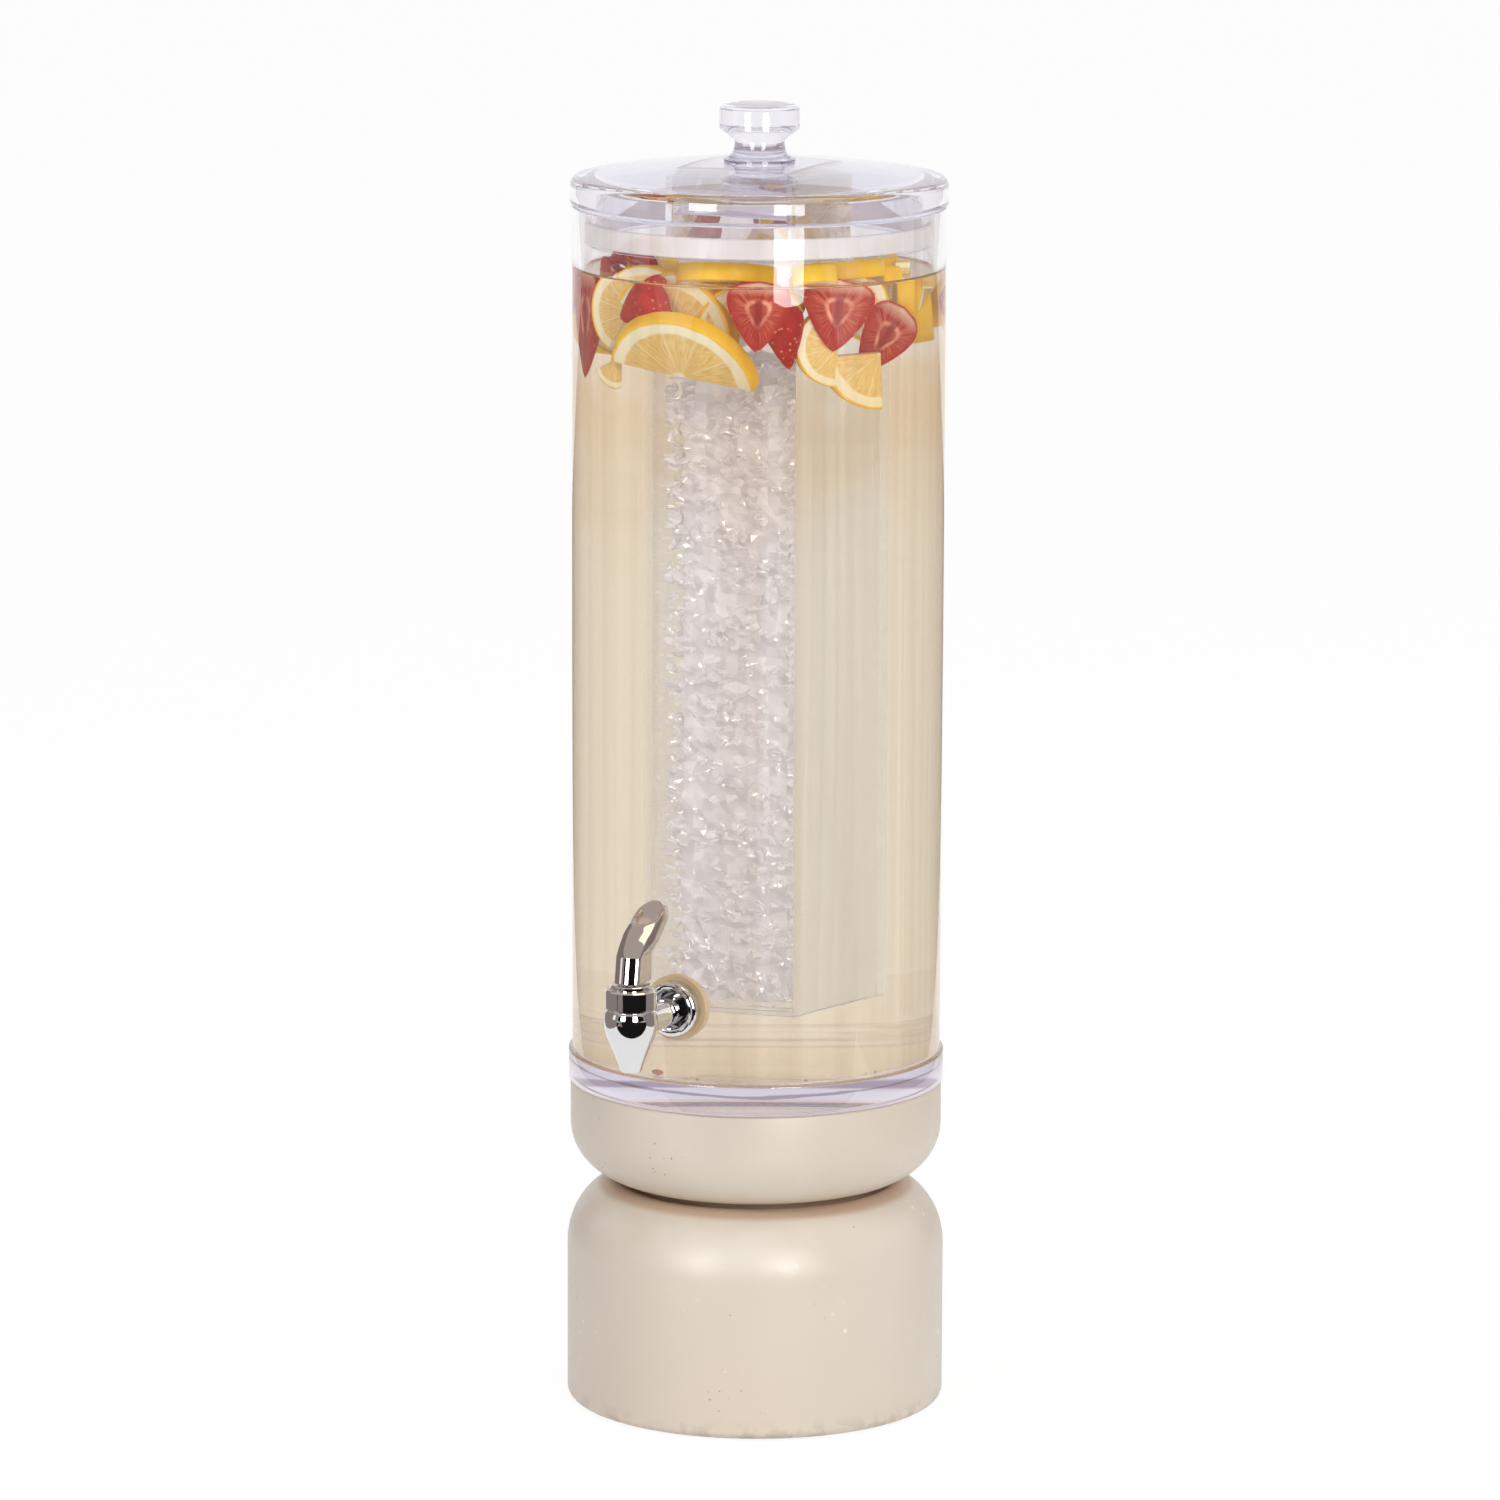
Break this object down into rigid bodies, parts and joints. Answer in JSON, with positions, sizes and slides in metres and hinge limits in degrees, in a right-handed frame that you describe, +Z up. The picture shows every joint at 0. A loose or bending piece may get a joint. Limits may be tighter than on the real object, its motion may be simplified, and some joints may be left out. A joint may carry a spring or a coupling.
{
  "type": "beverage dispenser with ice chamber",
  "caption": "Tall clear drink dispenser on a turned base, with a lever tap, a lid with a knob and a square ice chamber hung from the lid into the drink.",
  "frame": {"origin": "middle of the base's underside, on the face that it stands on", "axes": "+Z up along the vessel's axis, -Y the way the tap points, +X to the right of someone facing the tap"},
  "size_m": [0.2084, 0.2799, 0.7202],
  "materials": {
    "felt": "thin pressed felt",
    "base_wood": "turned wood under a cream satin wash",
    "dowel_wood": "plain hardwood",
    "steel": "plain stainless steel",
    "brass": "plain brass",
    "clear_acrylic": "polished clear acrylic with a faint lavender edge",
    "chrome": "bright chrome plate",
    "amber_rubber": "translucent amber rubber",
    "black_rubber": "soft black rubber",
    "pale_silicone": "translucent white silicone"
  },
  "bodies": {
    "base": {"base_pad": "felt", "base_drum": "base_wood", "base_bowl": "base_wood", "base_bolt": "steel", "base_washer": "steel", "base_insert": "brass", "base_dowels": "dowel_wood"},
    "vessel": {"vessel_floor": "clear_acrylic", "vessel_tube": "clear_acrylic", "tap_body": "chrome", "tap_flange": "chrome", "tap_outer_washer": "amber_rubber", "tap_inner_washer": "amber_rubber", "tap_nut": "steel", "tap_bonnet": "chrome", "tap_cap": "chrome", "tap_spring": "steel"},
    "stem": {"tap_stem": "steel", "tap_plug": "black_rubber"},
    "lever": {"tap_lever": "chrome", "lever_pin": "steel"},
    "lid": {"lid_cover": "clear_acrylic", "lid_knob": "clear_acrylic", "lid_gasket": "pale_silicone", "chamber_socket": "clear_acrylic", "chamber_band": "pale_silicone"},
    "ice_chamber": {"ice_tube": "clear_acrylic", "ice_tube_floor": "clear_acrylic"}
  },
  "joints": [
    {"name": "vessel_lift", "type": "slide", "parent": "base", "child": "vessel", "axis": [0, 0, 1], "range_m": [0, 0.1]},
    {"name": "lid_lift", "type": "slide", "parent": "vessel", "child": "lid", "axis": [0, 0, 1], "range_m": [0, 0.45]},
    {"name": "chamber_pull", "type": "slide", "parent": "lid", "child": "ice_chamber", "axis": [0, 0, -1], "range_m": [0, 0.025]},
    {"name": "stem_lift", "type": "slide", "parent": "vessel", "child": "stem", "axis": [0, 0, 1], "range_m": [0, 0.00307], "stiffness_N_per_m": 700, "springref_m": -0.004, "deforming": ["tap_spring"]},
    {"name": "lever_tilt", "type": "hinge", "parent": "stem", "child": "lever", "pos_m": [0, -0.1614, 0.271], "axis": [-1, 0, 0], "range_deg": [0, 22]}
  ],
  "couplings": [
    {"joint": "lever_tilt", "follows": "stem_lift", "rad_per_m": 125}
  ]
}
